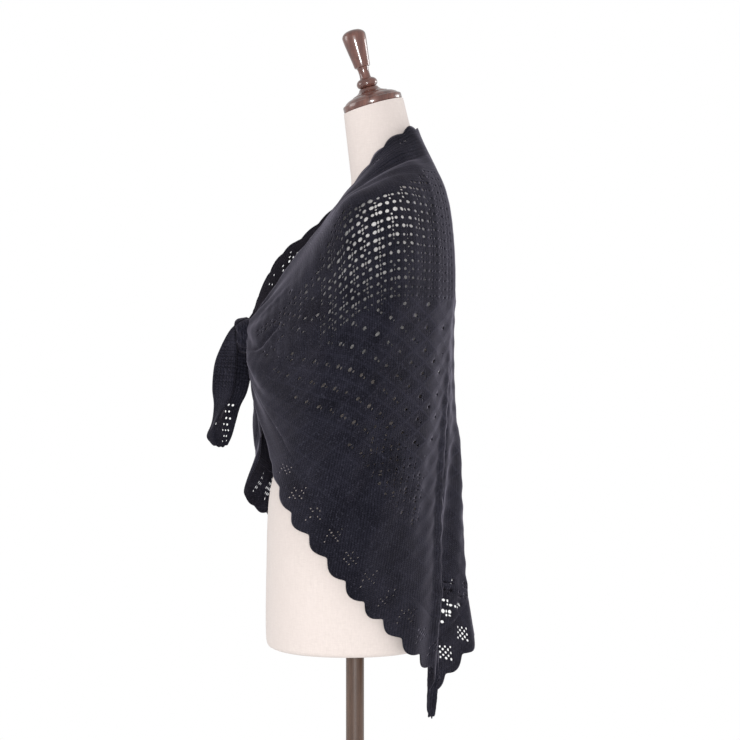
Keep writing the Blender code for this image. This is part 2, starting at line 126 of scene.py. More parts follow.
# the camera looks at the form's left side, level, from 3.2 m
CAMERA_PLACE = (3.2, 0.02025, 1.171)
SENSOR_WIDTH = 36.0
LENS = 115.32

camera = bpy.data.objects.new("camera", bpy.data.cameras.new("camera"))
camera.location = CAMERA_PLACE
camera.rotation_euler = (math.pi / 2, 0.0, math.pi / 2)
camera.data.sensor_width = SENSOR_WIDTH
camera.data.lens = LENS
bpy.context.scene.collection.objects.link(camera)
bpy.context.scene.camera = camera


# ======================== the form's padded body
# A papier-mache torso under a tight cover of natural linen with slubby threads. It is cut off
# flat below the hip, and its neck slopes up to the back, where the wooden cap sits.
MM = 0.001
FormRing = namedtuple("FormRing", "level front_y front_z back_y back_z half_width power")
FORM_RINGS = [FormRing(*row) for row in (
    ("bottom face", -112, 800, 95, 800, 145, 2.1),
    ("bottom edge", -118, 804, 101, 804, 151, 2.1),
    ("thigh", -120, 820, 104, 820, 154, 2.1),
    ("low hip", -120, 865, 108, 865, 161, 2.15),
    ("hip", -119, 915, 110, 915, 165, 2.2),
    ("high hip", -118, 965, 107, 965, 157, 2.15),
    ("stomach", -115, 1005, 99, 1005, 141, 2.1),
    ("above stomach", -107, 1040, 91, 1040, 126, 2.05),
    ("waist", -94, 1085, 87, 1085, 114, 2.0),
    ("ribs", -101, 1130, 97, 1130, 122, 2.0),
    ("underbust", -115, 1175, 110, 1175, 134, 2.05),
    ("bust", -125, 1224, 119, 1224, 147, 2.1),
    ("above bust", -112, 1262, 123, 1262, 158, 2.15),
    ("chest", -84, 1300, 123, 1305, 170, 2.2),
    ("armhole", -56, 1335, 119, 1350, 180, 2.2),
    ("shoulder point", -34, 1368, 111, 1388, 185, 2.1),
    ("shoulder top", -22, 1388, 103, 1412, 172, 1.95),
    ("shoulder slope", -14, 1402, 98, 1432, 142, 1.95),
    ("shoulder inner", -8, 1412, 92, 1447, 104, 1.85),
    ("neck root", -5, 1424, 87, 1462, 72, 1.9),
    ("neck low", -7, 1445, 82, 1478, 57, 2.0),
    ("neck middle", -11, 1480, 74, 1502, 49, 2.0),
    ("neck top", -15, 1515.5, 65, 1538, 41, 2.0),
)]
FORM_SEGMENTS = 96
STEPS_BETWEEN_RINGS = 4
FORM_CELL = (2 * math.pi * 125 / FORM_SEGMENTS, 9.0)  # of its linen, in mm, across and up
FORM_MERGE = 0.00002
FORM_SHARP = math.radians(50)
LINEN_SHADED_AND_RAISED = ((0.585, 0.515, 0.485), (0.715, 0.64, 0.605))  # between the threads, painted darker as shade, and on them
LINEN_AGED = (0.66, 0.585, 0.552)
# painted light: the pale colour given to the linen under the shawl
LINEN_PAINTED_LIGHT = (0.94, 0.91, 0.9)
SLUBS = ((260.0, 260.0, 1400.0), (1300.0, 1300.0, 120.0))  # level threads and upright ones


def smooth_between(start, end, leave, arrive, share):
    """A cubic from start to end with the directions it leaves and arrives in."""
    squared = share * share
    cubed = squared * share
    return (start * (2 * cubed - 3 * squared + 1) + leave * (cubed - 2 * squared + share)
            + end * (3 * squared - 2 * cubed) + arrive * (cubed - squared))


def curve_at(values, place):
    """The smooth curve through evenly numbered values, at a fractional number."""
    last = len(values) - 1
    index = min(max(int(place), 0), last - 1)
    before = values[index - 1] if index > 0 else values[0] * 2 - values[1]
    after = values[index + 2] if index + 2 <= last else values[last] * 2 - values[last - 1]
    start, end = values[index], values[index + 1]
    return smooth_between(start, end, (end - before) / 2, (after - start) / 2, place - index)


def grid_sheet(columns, rows):
    """A flat sheet of cells between two lists of lines, in mm."""
    sheet = bmesh.new()
    bmesh.ops.create_grid(sheet, x_segments=len(columns) - 1, y_segments=len(rows) - 1, size=1.0)
    for vertex in sheet.verts:
        i = round((vertex.co.x + 1.0) / 2.0 * (len(columns) - 1))
        j = round((vertex.co.y + 1.0) / 2.0 * (len(rows) - 1))
        vertex.co = (columns[i], rows[j], 0.0)
    return sheet


def keep_flat_map(sheet, scale=(1.0, 1.0)):
    """Write the flat sheet's own millimetres into its UV map, in metres."""
    flat_map = sheet.loops.layers.uv.new("flat")
    for face in sheet.faces:
        for corner in face.loops:
            corner[flat_map].uv = (corner.vert.co.x * scale[0] * MM, corner.vert.co.y * scale[1] * MM)


def form_point(numbers, angle):
    """A point of the torso's ring, from the ring's row of numbers and an angle from the back."""
    front_y, front_z, back_y, back_z, half_width, power = numbers
    across = math.copysign(abs(math.sin(angle)) ** (2 / power), math.sin(angle))
    ahead = math.copysign(abs(math.cos(angle)) ** (2 / power), math.cos(angle))
    return Vector((half_width * across,
                   (front_y + back_y) / 2 + (back_y - front_y) / 2 * ahead,
                   (front_z + back_z) / 2 + (back_z - front_z) / 2 * ahead)) * MM


def drawn_together(numbers):
    """A ring shrunk to its own middle, which closes an end of the form."""
    front_y, front_z, back_y, back_z, _, power = numbers
    middle_y, middle_z = (front_y + back_y) / 2, (front_z + back_z) / 2
    return np.array((middle_y, middle_z, middle_y, middle_z, 0.0, power))


ring_numbers = [np.array(ring[1:], dtype=float) for ring in FORM_RINGS]
form_rows = [curve_at(ring_numbers, place / STEPS_BETWEEN_RINGS)
             for place in range((len(ring_numbers) - 1) * STEPS_BETWEEN_RINGS + 1)]
form_rows = [drawn_together(ring_numbers[0])] + form_rows + [drawn_together(ring_numbers[-1])]

form_shape = grid_sheet(list(range(FORM_SEGMENTS + 1)), list(range(len(form_rows))))
keep_flat_map(form_shape, FORM_CELL)
for vertex in form_shape.verts:
    angle = 2 * math.pi * round(vertex.co.x) / FORM_SEGMENTS
    vertex.co = form_point(form_rows[round(vertex.co.y)], angle)
bmesh.ops.remove_doubles(form_shape, verts=form_shape.verts, dist=FORM_MERGE)
bmesh.ops.recalc_face_normals(form_shape, faces=form_shape.faces)
form_tree = BVHTree.FromBMesh(form_shape)


def calculate(tree, operation, *values):
    """One step of arithmetic on sockets or plain numbers."""
    return add_node(tree, "ShaderNodeMath", enumerate(values), operation=operation).outputs[0]


def mix_colours(tree, share, first, second):
    """Mix two colours by a share; each is a socket or plain red, green and blue."""
    ends = [(slot, colour if isinstance(colour, bpy.types.NodeSocket) else (*colour, 1.0))
            for slot, colour in ((6, first), (7, second))]
    return add_node(tree, "ShaderNodeMix", [(0, share)] + ends, data_type="RGBA").outputs[2]


def cloudy(tree, place, scale, detail, roughness=0.5):
    """Soft noise over a place."""
    return add_node(tree, "ShaderNodeTexNoise",
                    [(0, place), (2, scale), (3, detail), (4, roughness)]).outputs[0]


def stretched(tree, place, scale):
    """A place scaled apart along X, Y and Z."""
    return add_node(tree, "ShaderNodeMapping", [(0, place), (3, scale)]).outputs[0]


def finish_surface(tree, shader, colour, height, strength, depth):
    """Feed a colour and a bumpy height to the shader."""
    raised = add_node(tree, "ShaderNodeBump", [(0, strength), (1, depth), (3, height)])
    tree.links.new(colour, shader.inputs["Base Color"])
    tree.links.new(raised.outputs[0], shader.inputs["Normal"])


linen, linen_tree, linen_shader = new_material("natural linen", (0.8, 0.72, 0.67), 0.85)
linen_shader.inputs["Specular IOR Level"].default_value = 0.2
linen_shader.inputs["Sheen Weight"].default_value = 0.15
linen_place = add_node(linen_tree, "ShaderNodeTexCoord").outputs["Object"]
thread_height = calculate(linen_tree, "ADD", *(
    cloudy(linen_tree, stretched(linen_tree, linen_place, scale), 0.5, 3.0) for scale in SLUBS))
# painted shade: the threads' height is painted into the colour, darker low between the threads
thread_tone = map_range(linen_tree, thread_height, 0.6, 1.4, 0.0, 1.0)
linen_colour = mix_colours(linen_tree, thread_tone, *LINEN_SHADED_AND_RAISED)
linen_colour = mix_colours(linen_tree, cloudy(linen_tree, linen_place, 9.0, 3.0), linen_colour, LINEN_AGED)
# over the shoulders, under the shawl, the linen is painted paler: painted light that stands in for the
# light let in through the eyelets
linen_xyz = add_node(linen_tree, "ShaderNodeSeparateXYZ", [(0, linen_place)]).outputs
painted_light_mask = map_range(linen_tree, linen_xyz[2], 1.165, 1.2, 0.0, 1.0)
for value, start, end, low, high in (
        (linen_xyz[2], 1.395, 1.415, 1.0, 0.0),
        (calculate(linen_tree, "ABSOLUTE", linen_xyz[0]), 0.075, 0.1, 0.0, 1.0),
        (linen_xyz[1], -0.09, -0.06, 0.0, 1.0)):
    inside = map_range(linen_tree, value, start, end, low, high)
    painted_light_mask = calculate(linen_tree, "MULTIPLY", painted_light_mask, inside)
linen_colour = mix_colours(linen_tree, painted_light_mask, linen_colour, LINEN_PAINTED_LIGHT)
finish_surface(linen_tree, linen_shader, linen_colour, thread_height, 0.25, 0.0006)

form_body = add_piece("torso", form_shape, linen)
form_body.data.set_sharp_from_angle(angle=FORM_SHARP)
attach(form_body, "root")
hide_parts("form_body")


# ======================== neck cap, finial, pole and base
# Turned hardwood. The cap and its handle are stained a dark red-brown and varnished; the pole and
# the round base are a plainer brown.
FINIAL_PROFILE = [
    (0.0, 107.0), (5.0, 106.8), (9.0, 106.0), (12.2, 104.4), (14.6, 102.3), (16.0, 99.6), (16.2, 97.0),
    (15.4, 89.0), (14.1, 80.0), (12.8, 71.0), (11.6, 62.5), (11.0, 57.0), (10.5, 55.2), (8.3, 54.4),
    (7.4, 51.0), (7.1, 46.0), (7.3, 41.0), (8.0, 39.2), (10.6, 38.3), (12.6, 36.6), (14.0, 34.2),
    (14.3, 32.0), (13.8, 29.6), (12.2, 27.6), (10.0, 26.5), (0.0, 26.3),
]
CAP_PROFILE = [
    (0.0, 26.0), (12.0, 26.0), (13.0, 25.2), (14.2, 22.8), (17.2, 20.4), (20.6, 18.8), (24.0, 17.6),
    (24.6, 16.6), (27.6, 15.9), (31.4, 14.5), (34.6, 12.6), (37.0, 10.4), (37.6, 9.4), (39.4, 9.0),
    (40.3, 8.2), (40.5, 7.0), (40.5, 2.2), (40.1, 0.9), (39.5, 0.3), (0.0, 0.3),
]
BASE_PROFILE = [
    (0.0, 34.0), (19.0, 34.0), (21.0, 33.4), (23.0, 31.6), (24.6, 28.8), (27.4, 25.6), (33.0, 23.4),
    (40.0, 22.2), (176.0, 18.0), (182.0, 16.6), (186.6, 13.4), (189.4, 9.0), (190.0, 5.6),
    (188.8, 1.8), (187.0, 0.0), (0.0, 0.0),
]
POLE_PROFILE = [
    (0.0, 799.7), (11.4, 799.7), (12.2, 798.9), (12.2, 35.1), (11.4, 34.3), (0.0, 34.3),
]
TURNED_STEPS = 72
TURNED_MERGE = 0.00001
TURNED_SHARP = math.radians(32)
PORE_SHADE = 0.45  # how dark the pores are beside the wood round them


def turned_shape(profile):
    """Spin a profile of radius and height, in mm, into a closed turned piece."""
    shape = bmesh.new()
    line = [shape.verts.new((radius * MM, 0.0, height * MM)) for radius, height in profile]
    edges = [shape.edges.new(pair) for pair in zip(line, line[1:])]
    bmesh.ops.spin(shape, geom=line + edges, cent=(0, 0, 0), axis=(0, 0, 1), angle=2 * math.pi,
                   steps=TURNED_STEPS, use_merge=True, use_duplicate=False)
    bmesh.ops.remove_doubles(shape, verts=shape.verts, dist=TURNED_MERGE)
    bmesh.ops.recalc_face_normals(shape, faces=shape.faces)
    return shape


def wood_material(name, dark, light, roughness, coat, grain_scale):
    """Stained hardwood: long grain drawn out along Z, fine pores and a varnish over them."""
    material, tree, shader = new_material(name, dark, roughness)
    place = add_node(tree, "ShaderNodeTexCoord").outputs["Object"]
    long_grain = stretched(tree, place, (grain_scale, grain_scale, grain_scale * 0.07))
    fine_grain = stretched(tree, place, (grain_scale * 7, grain_scale * 7, grain_scale * 0.4))
    wave = cloudy(tree, long_grain, 1.0, 5.0, 0.62)
    pores = cloudy(tree, fine_grain, 1.0, 2.0)
    stain = mix_colours(tree, map_range(tree, wave, 0.35, 0.68, 0.0, 1.0), dark, light)
    pored = mix_colours(tree, map_range(tree, pores, 0.3, 0.48, 0.55, 1.0),
                        [part * PORE_SHADE for part in dark], stain)
    finish_surface(tree, shader, pored, pores, 0.12, 0.0003)
    shader.inputs["Coat Weight"].default_value = coat
    shader.inputs["Coat Roughness"].default_value = 0.08
    return material


dark_varnish = wood_material("dark varnished wood", (0.075, 0.026, 0.02), (0.19, 0.078, 0.058),
                             roughness=0.28, coat=0.8, grain_scale=90.0)
brown_wood = wood_material("brown wood", (0.058, 0.029, 0.018), (0.105, 0.058, 0.037),
                           roughness=0.42, coat=0.35, grain_scale=70.0)

neck_top = FORM_RINGS[-1]
neck_lean = (Matrix.Translation(Vector((0.0, neck_top.front_y + neck_top.back_y,
                                        neck_top.front_z + neck_top.back_z)) / 2 * MM)
             @ Matrix.Rotation(math.atan2(neck_top.back_z - neck_top.front_z,
                                          neck_top.back_y - neck_top.front_y), 4, "X"))
for name, node, profile, leans, wood, slot in (
        ("cap", "neck_cap", CAP_PROFILE, True, dark_varnish, "varnished_wood"),
        ("handle", "finial", FINIAL_PROFILE, True, dark_varnish, "varnished_wood"),
        ("stand_pole", "pole", POLE_PROFILE, False, brown_wood, "brown_wood"),
        ("stand_base", "base", BASE_PROFILE, False, brown_wood, "brown_wood")):
    turned = turned_shape(profile)
    if leans:
        bmesh.ops.transform(turned, matrix=neck_lean, verts=turned.verts)
    wooden = add_piece(name, turned, wood)
    wooden.data.set_sharp_from_angle(angle=TURNED_SHARP)
    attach(wooden, "root")
    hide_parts(node)


# ======================== the lace body of the shawl
# One soft black wool triangle, worked in lace from the neck down: a plain yoke, then columns of
# paired eyelets over the shoulders, then a diamond net of single eyelets down to the edging. It
# hangs from the shoulders and is drawn in to the knot in front. Each half is one sheet from the
# centre back to the knot, knitted flat here (along the top edge, down from it, in mm) and laid on
# the form through the sections of its worn surface.
HALF_WIDTH = 650.0
DEPTH = 790.0
HEM_LENGTH = math.hypot(HALF_WIDTH, DEPTH)
HEM_COSINE = HALF_WIDTH / HEM_LENGTH  # of its slope
KNOT_END = 400.0
HEM_BORDER = 42.0
WALL = 1.0
CLOTH_CLEARANCE = 1.8
CLEARANCE_BLEND = 6.0

Section = namedtuple("Section", "along edge shoulder middle hem")
SECTIONS = [Section(*row) for row in (
    (-400, (-20.6, -138, 1251), (-20.6, -146, 1234), (-20.6, -147, 1208), (-20.6, -141, 1193)),
    (-388, (-28, -134, 1260), (-38, -141, 1240), (-42, -144, 1200), (-36, -139, 1166)),
    (-375, (-36, -130, 1270), (-60, -134, 1242), (-72, -139, 1178), (-55, -137, 1114)),
    (-362, (-43, -123, 1284), (-80, -128, 1246), (-98, -136, 1155), (-74, -139, 1056)),
    (-350, (-50, -116, 1298), (-100, -120, 1250), (-122, -130, 1135), (-102, -156, 1003)),
    (-330, (-58, -109, 1312), (-125, -105, 1265), (-150, -118, 1130), (-138, -130, 970)),
    (-300, (-70, -94, 1336), (-150, -85, 1285), (-180, -92, 1150), (-172, -80, 950)),
    (-250, (-84, -60, 1367), (-176, -42, 1330), (-210, -42, 1165), (-200, -5, 925)),
    (-200, (-84, -25, 1400), (-190, -5, 1375), (-212, 8, 1160), (-190, 72, 888)),
    (-150, (-78, 10, 1435), (-190, 50, 1386), (-196, 66, 1120), (-146, 136, 852)),
    (-100, (-69, 41, 1470), (-128, 96, 1400), (-140, 116, 1070), (-78, 162, 808)),
    (-50, (-45, 73, 1493), (-62, 126, 1380), (-68, 142, 1060), (-22, 134, 764)),
    (-25, (-24, 83, 1494), (-30, 127, 1378), (-34, 134, 1090), (7, 109, 742)),
    (0, (0, 86, 1493), (0, 127, 1378), (0, 130, 1150), (30, 99, 712)),
    (25, (24, 83, 1494), (30, 127, 1378), (36, 128, 1150), (52, 107, 762)),
    (50, (45, 73, 1494), (62, 125, 1384), (72, 128, 1160), (88, 92, 783)),
    (75, (59, 57, 1483), (95, 113, 1393), (108, 116, 1175), (129, 76, 804)),
    (100, (70, 38, 1468), (128, 96, 1400), (145, 98, 1190), (154, 50, 832)),
    (150, (78, 11, 1432), (190, 50, 1385), (200, 50, 1190), (186, 3, 880)),
    (200, (84, -20, 1393), (190, -5, 1372), (212, 5, 1190), (194, -43, 938)),
    (250, (82, -51, 1353), (176, -38, 1325), (208, -42, 1168), (164, -87, 994)),
    (300, (68, -82, 1316), (142, -80, 1272), (168, -92, 1155), (110, -110, 1058)),
    (360, (40, -113, 1271), (80, -124, 1240), (95, -134, 1180), (52, -134, 1130)),
    (400, (20.6, -134, 1245), (20.6, -144, 1232), (20.6, -145, 1208), (20.6, -140, 1194)),
)]

# soft ridges and hollows of the hanging cloth: from and to on the flat sheet, width and height
Fold = namedtuple("Fold", "name from_along from_down to_along to_down width height")
FOLDS = [Fold(*row) for row in (
    ("left back ridge", 44, 300, 34, 780, 6.5, 8),
    ("left back hollow", 62, 240, 34, 640, 36, -11),
    ("centre back valley", 16, 320, 6, 730, 11, -17),
    ("right back panel", -24, 420, -14, 780, 12, -6),
    ("tip roll", -7, 660, -4, 820, 10, 12),
    ("tip roll under", 13, 660, 8, 820, 10, -9),
    ("right back ridge", -56, 400, -84, 780, 20, 9),
    ("small of the back", -30, 240, -46, 420, 34, -5),
    ("left collar crease", 30, 41, 220, 42, 6, -6),
    ("right collar crease", -20, 46, -240, 44, 9, -3),
    ("left collar roll", 20, 22, 240, 24, 14, 3),
    ("left knot crease", 394, 205, 312, 158, 4.5, -9),
    ("left band above it", 396, 120, 250, 112, 20, 3),
    ("left knot pleat", 392, 235, 260, 215, 18, 5),
    ("left low crease", 397, 160, 260, 260, 16, -10),
    ("right knot crease", -398, 76, -260, 84, 12, -10),
    ("right knot pleat", -396, 125, -230, 190, 16, 9),
    ("right low crease", -397, 170, -250, 290, 16, -10),
    ("right side fold", -190, 300, -240, 470, 22, 9),
    ("left side fold", 180, 260, 215, 480, 24, 6),
    # smaller ones, uneven, on all sides
    ("left yoke wrinkle", 60, 62, 210, 58, 4, 1.2),
    ("left yoke wrinkle low", 90, 74, 235, 70, 4, -1.2),
    ("right yoke wrinkle", -70, 58, -225, 62, 4, 1.2),
    ("right yoke wrinkle low", -85, 72, -200, 75, 4, -1.2),
    ("left hip ripple", 120, 420, 150, 590, 20, 4),
    ("left hip trough", 152, 380, 172, 540, 17, -4),
    ("left front ripple", 255, 270, 262, 430, 18, 3.5),
    ("left upper pull", 385, 92, 300, 96, 9, 3.5),
    ("left lower pull", 388, 205, 310, 300, 13, 5),
    ("left last pull", 385, 250, 322, 355, 10, -4),
    ("right upper pull", -385, 96, -290, 104, 9, 3.5),
    ("right lower pull", -388, 215, -300, 320, 13, 5),
    ("right last pull", -385, 255, -318, 365, 10, -4),
    ("right neck roll", -285, 2, -400, 2, 18, 5),
    ("right hem tuck", -405, 285, -340, 350, 26, -7),
    ("right hip ripple", -118, 430, -140, 600, 18, 4.5),
    ("right hip trough", -150, 360, -178, 520, 18, -4.5),
    ("right back trough", -80, 360, -98, 640, 14, -5),
    ("right shoulder pull", -120, 150, -170, 280, 16, 2.5),
    ("left shoulder pull", 112, 160, 160, 290, 18, 2.5),
    ("left back trough", 74, 400, 82, 640, 14, -4),
)]

# near the knot the sections lean: the hem is drawn in from further along the wing than the top edge
LEAN_FROM = 280.0
HEM_REACH = {1: 428.0, -1: 526.0}  # place on the hem that meets the knot, left and right
ALONG_STEP = 1.0
SHARE_STEPS = 160
SECTION_STEPS = 72
HALVINGS = 24  # of the search for a section
NORMAL_STEP = 4.0
PLEATS_FROM = 270.0  # pleats start here and are full PLEATS_RUN further on
PLEATS_RUN = 90.0
PLEATS_END = 30.0  # they flatten over this stretch before the knot
PLEATS = 5.5
PLEAT_HEIGHT = 4.2


def flat_depth(along):
    """Depth of the flat triangle below a place on its top edge."""
    return DEPTH * (1.0 - np.abs(along) / HALF_WIDTH)


def hem_place(along, side):
    """Where the section that leaves the top edge at a place meets the hem."""
    share = np.clip((along - LEAN_FROM) / (KNOT_END - LEAN_FROM), 0.0, 1.0)
    return along + (HEM_REACH[side] - KNOT_END) * share * share * (3.0 - 2.0 * share)


def section_of(across, down, side):
    """The section that a place of the flat sheet lies on, and its share of the way to the hem."""
    low = np.zeros_like(across)
    high = np.full_like(across, KNOT_END)
    for _ in range(HALVINGS):
        along = (low + high) / 2
        hem = hem_place(along, side)
        share = down / flat_depth(hem)
        beyond = along + (hem - along) * share > across
        high = np.where(beyond, along, high)
        low = np.where(beyond, low, along)
    return along, share


def section_corners(along):
    """The four points of the worn section at each place along the top edge."""
    places = np.array([section.along for section in SECTIONS], dtype=float)
    corners = np.array([[section.edge, section.shoulder, section.middle, section.hem]
                        for section in SECTIONS], dtype=float)
    index = np.clip(np.searchsorted(places, along, side="right") - 1, 0, len(places) - 2)
    before, after = np.maximum(index - 1, 0), np.minimum(index + 2, len(places) - 1)
    span = places[index + 1] - places[index]
    share = ((along - places[index]) / span)[:, None, None]
    start, end = corners[index], corners[index + 1]
    leave = (end - corners[before]) * (span / (places[index + 1] - places[before]))[:, None, None]
    arrive = (corners[after] - start) * (span / (places[after] - places[index]))[:, None, None]
    return smooth_between(start, end, leave, arrive, share)


def worn_table():
    """The worn surface as a table of points: by place along the top edge and share of the depth."""
    alongs = np.arange(-KNOT_END, KNOT_END + ALONG_STEP / 2, ALONG_STEP)
    fine = np.linspace(0.0, 3.0, SECTION_STEPS + 1)
    rows, lengths = [], []
    for section in section_corners(alongs):
        line = np.array([curve_at(section, place) for place in fine])
        reach = np.concatenate([[0.0], np.cumsum(np.linalg.norm(np.diff(line, axis=0), axis=1))])
        goals = np.linspace(0.0, reach[-1], SHARE_STEPS + 1)
        rows.append(np.stack([np.interp(goals, reach, line[:, axis]) for axis in range(3)], axis=1))
        lengths.append(reach[-1])
    return np.array(rows), np.array(lengths)


worn_rows, worn_lengths = worn_table()


def bare_points(along, share):
    """The worn surface before its folds, at shares of the sections."""
    place = np.clip((along + KNOT_END) / ALONG_STEP, 0.0, len(worn_rows) - 1.001)
    column = place.astype(int)
    aside = (place - column)[:, None]
    row = np.clip(np.floor(share * SHARE_STEPS).astype(int), 0, SHARE_STEPS - 1)
    below = (share * SHARE_STEPS - row)[:, None]
    left = worn_rows[column, row] * (1 - below) + worn_rows[column, row + 1] * below
    right = worn_rows[column + 1, row] * (1 - below) + worn_rows[column + 1, row + 1] * below
    return left * (1 - aside) + right * aside


def fold_heights(along, down):
    """How far the folds lift or sink the cloth at places of the flat sheet."""
    height = np.zeros_like(along)
    for fold in FOLDS:
        run_along, run_down = fold.to_along - fold.from_along, fold.to_down - fold.from_down
        square = run_along ** 2 + run_down ** 2
        share = ((along - fold.from_along) * run_along + (down - fold.from_down) * run_down) / square
        off_along = along - fold.from_along - run_along * share
        off_down = down - fold.from_down - run_down * share
        rise = np.sin(math.pi * np.clip(share, 0.0, 1.0)) ** 0.7
        height += fold.height * rise * np.exp(-(off_along ** 2 + off_down ** 2) / fold.width ** 2)
    return height


def worn_normals(along, share):
    """Outward directions of the worn surface."""
    dip = NORMAL_STEP / flat_depth(along)
    beside = np.clip(along, -KNOT_END + NORMAL_STEP, KNOT_END - NORMAL_STEP)
    across = bare_points(beside + NORMAL_STEP, share) - bare_points(beside - NORMAL_STEP, share)
    downward = bare_points(beside, share + dip) - bare_points(beside, share - dip)
    normal = np.cross(across, downward)
    return normal / np.linalg.norm(normal, axis=1)[:, None]


def gathers(along, share):
    """Pleats that the cloth is drawn into on its way to the knot."""
    near = np.clip((along - PLEATS_FROM) / PLEATS_RUN, 0.0, 1.0)
    ease = np.clip((KNOT_END - along) / PLEATS_END, 0.15, 1.0)
    wave = np.sin(2 * math.pi * (PLEATS * share + 0.35 * np.sin(5.0 * share + 0.9)))
    return PLEAT_HEIGHT * wave * near * ease


def clear_of_form(point):
    """Move a point out until the cloth there lies clear of the torso."""
    place, normal, _, distance = form_tree.find_nearest(point)
    if (point - place).dot(normal) < 0:
        distance = -distance
    distance /= MM
    overlap = max(CLEARANCE_BLEND - abs(distance - CLOTH_CLEARANCE), 0.0)
    wanted = max(distance, CLOTH_CLEARANCE) + overlap * overlap / (4 * CLEARANCE_BLEND)
    if wanted <= distance:
        return point
    outward = (point - place) if distance > 0.5 else normal
    return point + outward.normalized() * (wanted - distance) * MM


def wear(sheet, side, relief):
    """Move every vertex of a flat sheet to its place on the form."""
    sheet.verts.ensure_lookup_table()
    flat = np.array([vertex.co[:2] for vertex in sheet.verts])
    along, share = section_of(np.abs(flat[:, 0]), flat[:, 1], side)
    along = np.copysign(along, flat[:, 0])
    hem = hem_place(along, side)
    slant = np.hypot(hem - along, flat_depth(hem))
    column = np.rint((side * along + KNOT_END) / ALONG_STEP).astype(int)
    gathered = np.minimum(1.0, worn_lengths[column] / slant)
    height = fold_heights(side * along, share * flat_depth(along)) * gathered ** 2
    height += relief(flat[:, 0], flat[:, 1], side) * gathered + gathers(along, share) * (1 - gathered)
    along = side * along
    worn = (bare_points(along, share) + worn_normals(along, share) * height[:, None]) * MM
    for vertex, place in zip(sheet.verts, worn):
        vertex.co = clear_of_form(Vector(place))
    if side < 0:
        bmesh.ops.reverse_faces(sheet, faces=sheet.faces)


# the lace repeats every 17 mm: two large eyelets apart, then small ones, half a row lower too
COLUMN_CELLS = (4.2, 3.8, 4.2, 1.2, 2.4, 1.2)
LARGE, BETWEEN, SECOND, BAR, SMALL, EDGE = range(6)
PAIR = (LARGE, SECOND)
COLUMN = sum(COLUMN_CELLS)
FIRST_COLUMN = 3.0
NECK_ROWS = (0.0, 4.5, 9.0, 12.4, 15.6, 19.0, 22.2, 25.6, 31.0)
NECK_BAND = 38.0
NECK_SPOTS = 190.0  # small groups behind the neck end here
NECK_LACE = 285.0  # the band is open in rows past here, on the right
THINNING = 225.0  # from here the eyelets of the upper lace thin out
FRONT_LACE = 258.0  # in front of here they are few
FRONT_BAND = (130.0, 172.0)  # but for a band between these depths
FRONT_BAND_END = 348.0
UPPER_ROW = (4.2, 1.6, 2.6, 2.1)  # large eyelets, bar, small eyelets, bar
UPPER_ROWS = 20
LOWER_ROW = (3.8, 1.6, 2.6, 6.5)  # large eyelet, bar, small eyelet, plain
LARGE_MIDDLE = (COLUMN_CELLS[0] / 2, LOWER_ROW[0] / 2)
NET_REPEAT = (2 * COLUMN, 2 * sum(LOWER_ROW))
NECK_SCALLOP = 2 * COLUMN
NECK_SCALLOP_DEPTH = 5.0
SEAM_LAP = 3.0  # pieces dip under each other where they are joined
SEAM_DIP = 1.4
HEM_PLAIN = 48.0  # plain cloth above the edging
LADDER_TOP = 96.0  # over the plain cloth at the back stand columns of eyelets
LADDERS = (85.0, 165.0)
BACK_PLAIN = 64.0  # ribbed and closed down the middle of the back
TIP_LACE = 85.0  # the right half has eyelets beside the edging, up to here
NEAR_TIP = 40.0
TIP_LACE_BAND = (5.0, 24.0, 46.0)  # from this far above it, to this far, further near the tip
OPEN_BACK = (135.0, 130.0)  # and large ones, up to here and this far above the edging
SPARSE_BACK = 95.0  # the left half has few there
LAST_EYELETS = 368.0  # no eyelets past here, where the cloth is drawn together


def lines_from(start, cells, stop):
    """Grid lines that repeat the given cell sizes from start up to stop."""
    lines = [start]
    index = 0
    while lines[-1] + cells[index % len(cells)] < stop - 1.0:
        lines.append(lines[-1] + cells[index % len(cells)])
        index += 1
    return lines + [stop]


column_lines = [-SEAM_LAP, 0.0] + lines_from(FIRST_COLUMN, COLUMN_CELLS, max(HEM_REACH.values()))
upper_end = NECK_BAND + UPPER_ROWS * sum(UPPER_ROW)
row_lines = (list(NECK_ROWS) + lines_from(NECK_BAND, UPPER_ROW, upper_end)[:-1]
             + lines_from(upper_end, LOWER_ROW, DEPTH))


# the plain yoke's lower edge, along and down: deepest over the shoulder
YOKE_EDGE = ((40, 72), (90, 70), (112, 88), (150, 110), (172, 112), (200, 102), (222, 92), (245, 112))
OPEN_ALONG = ((BACK_PLAIN, 0.4), (100, 0.72), (150, 1.05))  # how wide the upper eyelets are pulled open
OPEN_DOWN = ((130, 1.05), (upper_end, 0.68))
FEWER_ALONG = ((THINNING, 1.0), (FRONT_LACE, 0.5))


def read_off(place, table):
    """The value at a place, read between the rows of a table of places and values."""
    return float(np.interp(place, *zip(*table)))


def phase_of(distance, cells):
    """Which of the repeating cells a distance falls in, and how often they have repeated."""
    repeat, rest = divmod(distance, sum(cells))
    for number, cell in enumerate(cells):
        rest -= cell
        if rest < 0:
            return number, int(repeat)
    return len(cells) - 1, int(repeat)


def seam_distance(across, down):
    """How far a flat place is from the edging."""
    return (flat_depth(across) - down) * HEM_COSINE - HEM_BORDER


Cell = namedtuple("Cell", "across down side to_seam tip_lace kind column chance")


def neck_eyelet(cell):
    """Small groups behind the neck, and open rows towards the knot on the right."""
    row = int(np.searchsorted(NECK_ROWS, cell.down)) - 1
    if cell.across < NECK_LACE:
        spotted = cell.across < NECK_SPOTS and cell.column % 3 == 1 and cell.kind in PAIR and row == 3
        return 0.6 if spotted else 0.0
    rows = (3, 7) if cell.kind in PAIR else (5,) if cell.kind == BETWEEN else ()
    return 0.95 if cell.side < 0 and row in rows and cell.chance < 0.45 else 0.0


